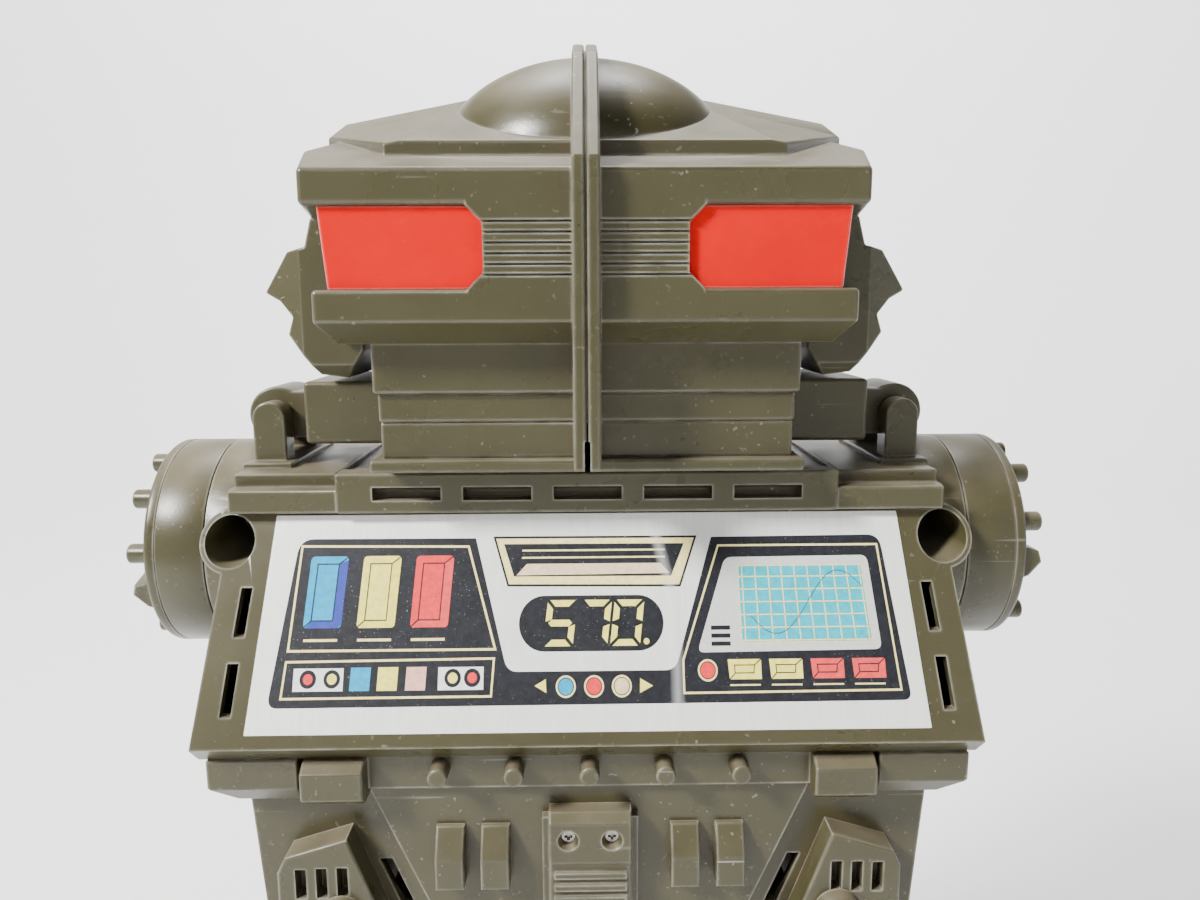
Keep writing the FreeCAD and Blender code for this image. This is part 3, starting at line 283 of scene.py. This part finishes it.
def print_card_slot(p):
    """Slot with a tapering frame and two fine lines in it."""
    outer = [(-19.9, 272.5), (22.9, 272.4), (19.3, 262.9), (-16.9, 263.2)]
    middle = [(-17.9, 271.2), (20.4, 271.1), (17.5, 264.8), (-15.7, 264.9)]
    p.layer = 1
    p.shape("ink_cream", outer)
    p.layer = 2
    p.line("ink_black", outer, 0.42)
    p.shape("ink_black", middle)
    p.layer = 3
    for z in (269.9, 268.5):
        p.rectangle("ink_cream", -14.0, 16.3, z - 0.17, z + 0.17)
    p.shape("ink_beige", [(-13.0, 267.3), (15.4, 267.3), (17.2, 265.3), (-15.2, 265.1)])


def print_digit(p, x, z, name):
    """Slanted digit made of seven separate bars."""
    width, height, thick, gap, slant = 6.2, 8.7, 1.25, 0.45, 0.13
    half = height / 2
    bars = {
        "a": [(gap, height), (width - gap, height), (width - thick - gap, height - thick),
              (thick + gap, height - thick)],
        "d": [(gap, 0), (width - gap, 0), (width - thick - gap, thick), (thick + gap, thick)],
        "g": [(thick, half + thick / 2), (width - thick, half + thick / 2), (width - thick * 0.5, half),
              (width - thick, half - thick / 2), (thick, half - thick / 2), (thick * 0.5, half)],
    }
    for key, x_out, x_in in (("f", 0, thick), ("b", width, width - thick)):
        bars[key] = [(x_out, height - gap), (x_in, height - thick - gap), (x_in, half + thick / 2 + 0.1),
                     (x_out, half + gap * 0.6)]
    for key, x_out, x_in in (("e", 0, thick), ("c", width, width - thick)):
        bars[key] = [(x_out, gap), (x_in, thick + gap), (x_in, half - thick / 2 - 0.1),
                     (x_out, half - gap * 0.6)]
    for key in SEGMENTS[name]:
        p.shape("ink_yellow", [(x + u + slant * v, z + v) for u, v in bars[key]])


def print_middle(p):
    """Number display and a row of lights between two arrowheads."""
    display_z, end_radius, left_x, right_x = 255.9, 5.25, -9.3, 10.4
    slack = 0.01
    p.layer = 1
    left = [(x, z) for x, z in disc(left_x, display_z, end_radius) if x < left_x + slack]
    right = [(x, z) for x, z in disc(right_x, display_z, end_radius) if x > right_x - slack]
    left.sort(key=lambda point: point[1])
    right.sort(key=lambda point: -point[1])
    p.shape("ink_black", left + right)
    p.layer = 2
    for x, name in ((-9.6, "5"), (-2.4, "7"), (4.4, "0")):
        print_digit(p, x, 251.6, name)
    p.shape("ink_yellow", disc(12.0, 252.4, 0.6, 16))
    p.shape("ink_yellow", [(-11.2, 244.4), (-8.9, 245.6), (-8.8, 243.1)])
    p.shape("ink_yellow", [(13.1, 244.2), (10.5, 245.6), (10.4, 242.9)])
    light_z = 244.2
    for x, colour in ((-4.8, "ink_blue"), (1.0, "ink_red"), (6.7, "ink_beige")):
        print_ringed_light(p, x, light_z, colour)


def print_ringed_light(p, x, z, colour):
    """Round light in a pale ring with a fine black line between them."""
    for layer, name, radius in ((2, "ink_cream", 2.05), (3, "ink_black", 1.68), (4, colour, 1.5)):
        p.layer = layer
        p.shape(name, disc(x, z, radius))


def print_flat_button(p, x, colour):
    """Small bevelled button with a fine line under it."""
    width, low, high = 6.9, 245.2, 248.9
    p.layer = 2
    p.shape(colour, [(x + 0.3, low), (x + width, low), (x + width, high), (x, high)])
    inner = [(x + 1.45, low + 1.15), (x + width - 1.6, low + 1.15), (x + width - 1.4, high - 1.1),
             (x + 1.35, high - 1.1)]
    p.layer = 3
    p.line("ink_black", inner, 0.2)
    p.line("ink_black", [inner[2], (x + width, high)], 0.2, closed=False)
    p.line("ink_black", [inner[0], (x + 0.3, low)], 0.2, closed=False)
    p.rectangle("ink_cream", x + 0.3, x + width - 0.3, 244.0, 244.3)


def print_right_panel(p):
    """Scope screen with a wave on a grid, and a row of buttons."""
    p.layer = 2
    p.line("ink_cream", [(27.7, 270.6), (61.7, 270.6), (64.3, 243.0), (19.5, 242.8), (19.5, 248.8)], 0.4)
    p.shape("ink_grey", rounded([(29.0, 268.3), (59.4, 268.5), (61.0, 250.5), (22.5, 250.2)], 1.5))
    left, right, low, high = 31.8, 58.6, 252.0, 266.6

    def spot(across, down):
        """A place on the screen, from 0 to 1 across and 0 to 1 down; the screen leans like the panel."""
        return (between(left, right, across) + 1.1 * (down - 0.5) * (across + 0.1), between(high, low, down))

    p.layer = 3
    p.shape("ink_cyan", [spot(0, 0), spot(1, 0), spot(1, 1), spot(0, 1)])
    p.layer = 4
    p.line("ink_cream", [spot(0, 0), spot(1, 0), spot(1, 1), spot(0, 1)], 0.2)
    columns, rows, grid_line = 10, 6, 0.24
    for number in range(columns):
        across = 0.03 + number * 0.1055
        p.line("ink_cream", [spot(across, 0), spot(across, 1)], grid_line, closed=False)
    for number in range(rows):
        down = 0.145 + number * 0.166
        p.line("ink_cream", [spot(0, down), spot(1, down)], grid_line, closed=False)
    p.layer = 5
    wave = []
    wave_steps, middle, swing, centre, half_length = 40, 0.48, 0.41, 0.535, 0.53
    for step in range(wave_steps + 1):
        across = between(0.08, 0.98, step / wave_steps)
        wave.append(spot(across, middle - swing * math.sin(math.pi * (across - centre) / half_length)))
    p.line("ink_wave", wave, 0.17, closed=False)
    p.layer = 3
    for z in (251.8, 253.3, 254.8):
        p.rectangle("ink_black", 25.5, 29.5, z - 0.4, z + 0.4)
    print_ringed_light(p, 24.5, 246.9, "ink_red")
    for x, colour in ((28.7, "ink_yellow"), (37.3, "ink_yellow"), (45.9, "ink_rose"), (54.5, "ink_rose")):
        print_flat_button(p, x, colour)


def add_print(finishes):
    p = Print()
    print_black_field(p)
    print_left_panel(p)
    print_card_slot(p)
    print_middle(p)
    print_right_panel(p)
    p.build(finishes)


# ---- light seal in the slit of the head: a sheet that puts shade in the slit --------------------
# outline of the rim as (y, height) in mm, a little inside the fin, and the space that it leaves open
SEAL_OUTER = [(-50.8, 300), (-50.8, 347.2), (-30.4, 368.9), (-13.7, 374.8), (0, 376.6),
              (13.7, 374.8), (30.6, 367.8), (46.8, 348.5), (46.8, 300)]
SEAL_INNER = [(-46, 300), (-46, 345.5), (-28, 364), (-12, 369.5), (0, 371),
              (12, 369.5), (28, 363), (42, 346), (42, 300)]
SEAL_X = (-0.16, 0.10)     # from just inside the left half's face to just short of the right half's


def add_slit_shade(finishes):
    """Thin rim on the left half that keeps light from passing through the slit: a sheet that puts shade
    there.
    """
    mesh = bmesh.new()
    rows = []
    for x in SEAL_X:
        for points in (SEAL_OUTER, SEAL_INNER):
            rows.append([mesh.verts.new((x * MM, y * MM, z * MM)) for y, z in points])
    for first, second in ((rows[0], rows[1]), (rows[2], rows[3]), (rows[0], rows[2]), (rows[1], rows[3])):
        for number in range(len(first) - 1):
            mesh.faces.new((first[number], first[number + 1], second[number + 1], second[number]))
    for end in (0, -1):
        mesh.faces.new([rows[row][end] for row in (0, 1, 3, 2)])
    bmesh.ops.recalc_face_normals(mesh, faces=mesh.faces)
    seal = mesh_object("slit_shade_sheet", mesh, finishes["olive_plastic"])
    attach(seal, "left_head")


# ---- material kit; lengths in metres ------------------------------------------------------------
class Nodes:
    """Small helper to write a material's node tree as expressions."""

    def __init__(self, name):
        self.material = bpy.data.materials.new(name)
        self.material.use_nodes = True
        self.tree = self.material.node_tree
        self.shader = self.tree.nodes["Principled BSDF"]

    def add(self, kind, **inputs):
        node = self.tree.nodes.new(kind)
        for name, value in inputs.items():
            self.set(node.inputs[name.replace("_", " ")], value)
        return node

    def set(self, socket, value):
        if isinstance(value, bpy.types.NodeSocket):
            self.tree.links.new(value, socket)
        elif isinstance(value, tuple) and len(value) == 3 and socket.type == "RGBA":
            socket.default_value = (*value, 1)
        else:
            socket.default_value = value

    def give(self, name, value):
        self.set(self.shader.inputs[name], value)

    def place(self):
        return self.add("ShaderNodeTexCoord").outputs["Object"]

    def stretch(self, scale, rotation=(0, 0, 0)):
        node = self.add("ShaderNodeMapping", Vector=self.place())
        node.inputs["Scale"].default_value = scale
        node.inputs["Rotation"].default_value = rotation
        return node.outputs["Vector"]

    def noise(self, scale, detail=3.0, roughness=0.55, where=None):
        node = self.add("ShaderNodeTexNoise", Scale=scale, Detail=detail, Roughness=roughness)
        self.set(node.inputs["Vector"], where or self.place())
        return node.outputs["Fac"]

    def ramp(self, value, low, high, start=0.0, end=1.0):
        node = self.add("ShaderNodeMapRange", Value=value)
        node.inputs["From Min"].default_value = low
        node.inputs["From Max"].default_value = high
        node.inputs["To Min"].default_value = start
        node.inputs["To Max"].default_value = end
        return node.outputs["Result"]

    def math(self, operation, first, second=0.0):
        node = self.add("ShaderNodeMath")
        node.operation = operation
        self.set(node.inputs[0], first)
        self.set(node.inputs[1], second)
        return node.outputs[0]

    def mix(self, amount, first, second):
        node = self.add("ShaderNodeMix")
        node.data_type = "RGBA"
        self.set(node.inputs["Factor"], amount)
        self.set(node.inputs[6], first)
        self.set(node.inputs[7], second)
        return node.outputs[2]

    def facing_up(self):
        normal = self.add("ShaderNodeNewGeometry").outputs["Normal"]
        return self.add("ShaderNodeSeparateXYZ", Vector=normal).outputs["Z"]

    def edges(self, radius):
        """1 along an edge and 0 on a flat face."""
        rounded = self.add("ShaderNodeBevel", Radius=radius)
        rounded.samples = 4
        normal = self.add("ShaderNodeNewGeometry").outputs["Normal"]
        dot = self.add("ShaderNodeVectorMath")
        dot.operation = "DOT_PRODUCT"
        self.set(dot.inputs[0], rounded.outputs["Normal"])
        self.set(dot.inputs[1], normal)
        return self.ramp(dot.outputs["Value"], 0.995, 0.86)

    def recess(self, reach):
        """1 in the open and lower in a corner."""
        node = self.add("ShaderNodeAmbientOcclusion", Distance=reach)
        node.samples = 4
        return node.outputs["AO"]

    def bump(self, height, strength, distance):
        node = self.add("ShaderNodeBump", Height=height, Strength=strength, Distance=distance)
        self.give("Normal", node.outputs["Normal"])


def olive_plastic():
    """Dusty grey-olive moulding: clouded, with dirty corners, dusty top faces, pale edges that are partly
    wear and partly painted highlight, and scratches.
    """
    n = Nodes("olive_plastic")
    dark, light = (0.039, 0.0355, 0.0142), (0.055, 0.0505, 0.0220)
    colour = n.mix(n.ramp(n.noise(22, detail=4), 0.25, 0.75), dark, light)
    crevice = n.ramp(n.recess(0.008), 0.85, 0.25)
    dirt = n.math("MULTIPLY", crevice, n.ramp(n.noise(240, detail=3), 0.25, 0.75, 0.25, 0.75))
    colour = n.mix(dirt, colour, (0.080, 0.058, 0.030))
    dust_cloud = n.noise(110, detail=3, roughness=0.5)
    upward = n.ramp(n.facing_up(), 0.35, 0.95)
    dust = n.math("MULTIPLY", upward, n.ramp(dust_cloud, 0.25, 0.75, 0.35, 0.8))
    colour = n.mix(dust, colour, (0.200, 0.172, 0.115))
    speck_zone = n.ramp(n.noise(40, detail=2), 0.35, 0.75)
    speck = n.math("MULTIPLY", n.ramp(n.noise(900, detail=1), 0.70, 0.76, 0.0, 0.35), speck_zone)
    colour = n.mix(speck, colour, (0.36, 0.32, 0.25))
    scratch = scratches(n)
    colour = n.mix(scratch, colour, (0.33, 0.33, 0.29))
    # pale edge lines: partly rubbed wear, partly a painted highlight along sharp edges
    worn = n.math("MULTIPLY", n.edges(0.0008), n.ramp(n.noise(160, detail=4), 0.3, 0.62, 0.3, 1.0))
    colour = n.mix(n.math("MULTIPLY", worn, 0.7), colour, (0.42, 0.41, 0.35))
    n.give("Base Color", colour)
    cover = n.math("MULTIPLY", n.math("MAXIMUM", dust, dirt), 0.3)
    n.give("Roughness", n.math("ADD", n.ramp(n.noise(60, detail=4), 0.25, 0.75, 0.24, 0.34), cover))
    n.give("Specular IOR Level", 0.45)
    grain = n.math("ADD", n.noise(2600, detail=2), n.math("MULTIPLY", n.noise(260, detail=3), 0.8))
    grain = n.math("SUBTRACT", grain, n.math("MULTIPLY", scratch, 0.6))
    n.bump(grain, 0.2, 0.00012)
    return n.material


def scratches(n):
    """Sparse fine scratches in two directions."""
    total = None
    for turn, scale in (((0.3, 0.7, 0.5), (30, 900, 900)), ((1.1, -0.5, 0.2), (700, 25, 700))):
        lines = n.noise(1.0, detail=1, where=n.stretch(scale, turn))
        zone = n.ramp(n.noise(35, detail=2), 0.45, 0.8)
        line = n.math("MULTIPLY", n.ramp(lines, 0.735, 0.765, 0.0, 0.8), zone)
        total = line if total is None else n.math("MAXIMUM", total, line)
    return total


def simple(name, colour, other, rough, scale=120, bump=0.1, wear=None):
    """Two-tone clouded material with fine grain; wear is an edge colour."""
    n = Nodes(name)
    tone = n.mix(n.ramp(n.noise(scale, detail=4), 0.35, 0.66), colour, other)
    if wear:
        tone = n.mix(n.math("MULTIPLY", n.edges(0.0005), 0.6), tone, wear)
    n.give("Base Color", tone)
    n.give("Roughness", n.ramp(n.noise(scale * 2, detail=3), 0.3, 0.7, rough * 0.8, rough * 1.2))
    n.bump(n.noise(1800, detail=2), bump, 0.0001)
    return n.material


def brushed(name, colour, rough, direction):
    """Metal with fine lines along one axis."""
    n = Nodes(name)
    lines = n.noise(1.0, detail=3, where=n.stretch(direction))
    dark = tuple(part * 0.72 for part in colour)
    n.give("Base Color", n.mix(n.ramp(lines, 0.3, 0.7), dark, colour))
    n.give("Metallic", 1.0)
    n.give("Roughness", n.ramp(lines, 0.3, 0.7, rough * 0.75, rough * 1.3))
    n.bump(lines, 0.12, 0.00006)
    return n.material


def red_window():
    """Red moulded window with fine dust, faint stipple, pale edges painted as highlight and a faint painted
    glow.
    """
    n = Nodes("red_window")
    tone = n.mix(n.ramp(n.noise(70, detail=4), 0.32, 0.7), (0.54, 0.0003, 0.0003), (0.62, 0.0008, 0.0008))
    dust = n.ramp(n.noise(1300, detail=2), 0.70, 0.77, 0.0, 0.3)
    tone = n.mix(dust, tone, (0.70, 0.10, 0.08))
    # painted highlight: pale pink along the window's edges
    tone = n.mix(n.math("MULTIPLY", n.edges(0.0004), 0.7), tone, (0.9, 0.62, 0.55))
    n.give("Base Color", tone)
    n.give("Roughness", n.ramp(n.noise(90, detail=3), 0.3, 0.7, 0.24, 0.38))
    # painted glow: the window gives off a little light though it is no lamp
    n.give("Emission Color", tone)
    n.give("Emission Strength", 0.05)
    n.give("Specular IOR Level", 0.12)
    n.bump(n.noise(900, detail=3), 0.15, 0.0001)
    return n.material


def crease(n):
    """1 along the fold in the foil and 0 away from it."""
    axes = n.add("ShaderNodeSeparateXYZ", Vector=n.place())
    above = n.math("MAXIMUM", n.math("SUBTRACT", axes.outputs["Z"], CREASE_BEND_Z * MM), 0.0)
    middle = n.math("SUBTRACT", CREASE_X * MM, n.math("MULTIPLY", above, CREASE_SLOPE))
    away = n.math("ABSOLUTE", n.math("SUBTRACT", axes.outputs["X"], middle))
    return n.ramp(away, CREASE_HALF_WIDTH * MM, 0.0, 0.0, 1.0)


def foil():
    """Satin metallised foil: fine upright lines, soft waves, faint stains and a fold, with a painted
    highlight along the fold.
    """
    n = Nodes("foil")
    lines = n.noise(1.0, detail=3, where=n.stretch((1400, 60, 30)))
    tone = n.mix(n.ramp(lines, 0.25, 0.75), (0.84, 0.85, 0.83), (0.92, 0.93, 0.91))
    stain = n.ramp(n.noise(140, detail=5, roughness=0.7), 0.52, 0.74, 0.0, 0.35)
    tone = n.mix(stain, tone, (0.74, 0.72, 0.64))
    fold = crease(n)
    # painted highlight: lighter along the fold
    tone = n.mix(n.math("MULTIPLY", fold, 0.55), tone, (0.88, 0.88, 0.88))
    n.give("Base Color", tone)
    n.give("Metallic", 0.15)
    n.give("Roughness", n.ramp(n.noise(300, detail=4), 0.3, 0.7, 0.34, 0.46))
    waves = n.math("MULTIPLY", n.noise(45, detail=2), 6.0)
    height = n.math("ADD", n.math("ADD", waves, fold), n.math("MULTIPLY", lines, 0.25))
    n.bump(height, 0.25, 0.0003)
    return n.material


def ink(name, colour, mottle):
    """Printed ink: a little uneven, with tiny worn specks, and a painted highlight along the fold."""
    n = Nodes(name)
    speck, fold_highlight = (0.8, 0.8, 0.78), (0.8, 0.8, 0.8)
    dark = tuple(part * (1 - mottle) for part in colour)
    light = tuple(min(1.0, part * (1 + mottle)) for part in colour)
    tone = n.mix(n.ramp(n.noise(700, detail=4, roughness=0.7), 0.35, 0.65), dark, light)
    worn = n.math("MULTIPLY", n.ramp(n.noise(2600, detail=1), 0.70, 0.76, 0.0, 0.35),
                  n.ramp(n.noise(120, detail=2), 0.42, 0.62))
    tone = n.mix(worn, tone, speck)
    # painted highlight: the ink is lighter along the fold
    tone = n.mix(n.math("MULTIPLY", crease(n), 0.35), tone, fold_highlight)
    n.give("Base Color", tone)
    n.give("Roughness", n.ramp(n.noise(240, detail=3), 0.3, 0.7, 0.42, 0.54))
    n.give("Specular IOR Level", 0.3)
    n.bump(n.math("MULTIPLY", n.noise(45, detail=2), 6.0), 0.2, 0.0003)
    return n.material


MOTTLE = 0.12
INKS = {                   # colour, and how far it varies
    "ink_black": ((0.014, 0.015, 0.020), 0.35),
    "ink_cream": ((0.92, 0.79, 0.34), MOTTLE),
    "ink_beige": ((0.80, 0.62, 0.40), MOTTLE),
    "ink_yellow": ((0.94, 0.82, 0.17), MOTTLE),
    "ink_straw": ((0.90, 0.77, 0.14), MOTTLE),
    "ink_red": ((0.80, 0.045, 0.050), MOTTLE),
    "ink_rose": ((0.78, 0.075, 0.075), MOTTLE),
    "ink_pink": ((0.82, 0.47, 0.38), MOTTLE),
    "ink_blue": ((0.0, 0.34, 0.62), MOTTLE),
    "ink_violet": ((0.035, 0.06, 0.36), MOTTLE),
    "ink_cyan": ((0.0, 0.47, 0.60), MOTTLE),
    "ink_wave": ((0.01, 0.13, 0.24), MOTTLE),
    "ink_pale": ((0.84, 0.85, 0.85), 0.05),
    "ink_grey": ((0.62, 0.63, 0.61), 0.05),
}


def make_inks():
    return {name: ink(name, colour, mottle) for name, (colour, mottle) in INKS.items()}


def make_materials():
    return {
        "olive_plastic": olive_plastic(),
        "red_window": red_window(),
        "foil": foil(),
        "steel": brushed("steel", (0.32, 0.31, 0.29), 0.30, (900, 60, 60)),
        "black_plastic": simple("black_plastic", (0.018, 0.018, 0.018), (0.03, 0.03, 0.028), 0.42,
                                wear=(0.12, 0.12, 0.11)),
        "chrome_plate": brushed("chrome_plate", (0.78, 0.78, 0.78), 0.10, (60, 900, 60)),
        "lamp_glass": simple("lamp_glass", (0.80, 0.74, 0.56), (0.90, 0.86, 0.70), 0.12, scale=60),
        "nylon": simple("nylon", (0.62, 0.59, 0.48), (0.70, 0.68, 0.58), 0.45, wear=(0.8, 0.78, 0.7)),
        "brass": brushed("brass", (0.66, 0.46, 0.18), 0.25, (900, 60, 60)),
        "cell_jacket": simple("cell_jacket", (0.02, 0.025, 0.03), (0.05, 0.055, 0.06), 0.3,
                              wear=(0.5, 0.45, 0.35)),
        "speaker_metal": simple("speaker_metal", (0.02, 0.02, 0.02), (0.04, 0.04, 0.04), 0.5,
                                wear=(0.3, 0.3, 0.3)),
        "roller_rubber": simple("roller_rubber", (0.014, 0.014, 0.014), (0.03, 0.028, 0.026), 0.75,
                                bump=0.4, wear=(0.10, 0.09, 0.08)),
    }


EDGE_ROUNDING = 0.35 * MM
WELD_DISTANCE = 0.005 * MM
SHARP_ANGLE = 32           # degrees; gentler edges stay as they are


def round_edges(obj):
    """Joins the corners of a CAD mesh and rounds its sharp edges."""
    weld = obj.modifiers.new("weld", "WELD")
    weld.merge_threshold = WELD_DISTANCE
    bevel = obj.modifiers.new("round", "BEVEL")
    bevel.width = EDGE_ROUNDING
    bevel.segments = 2
    bevel.limit_method = "ANGLE"
    bevel.angle_limit = math.radians(SHARP_ANGLE)
    bevel.harden_normals = False
    bevel.use_clamp_overlap = True


def dress_cad_nodes(materials):
    """Gives each CAD node the material of its slot in the record, and rounds its edges."""
    slots = {part["node"]: part["material_slot"] for part in frame["record"]["subparts"]}
    for name, obj in nodes.items():
        for slot in obj.material_slots:
            slot.material = materials[slots[name]]
        round_edges(obj)


add_camera()
add_lights()
add_stage()
finishes = make_materials()
dress_cad_nodes(finishes)
add_print(make_inks())
add_slit_shade(finishes)
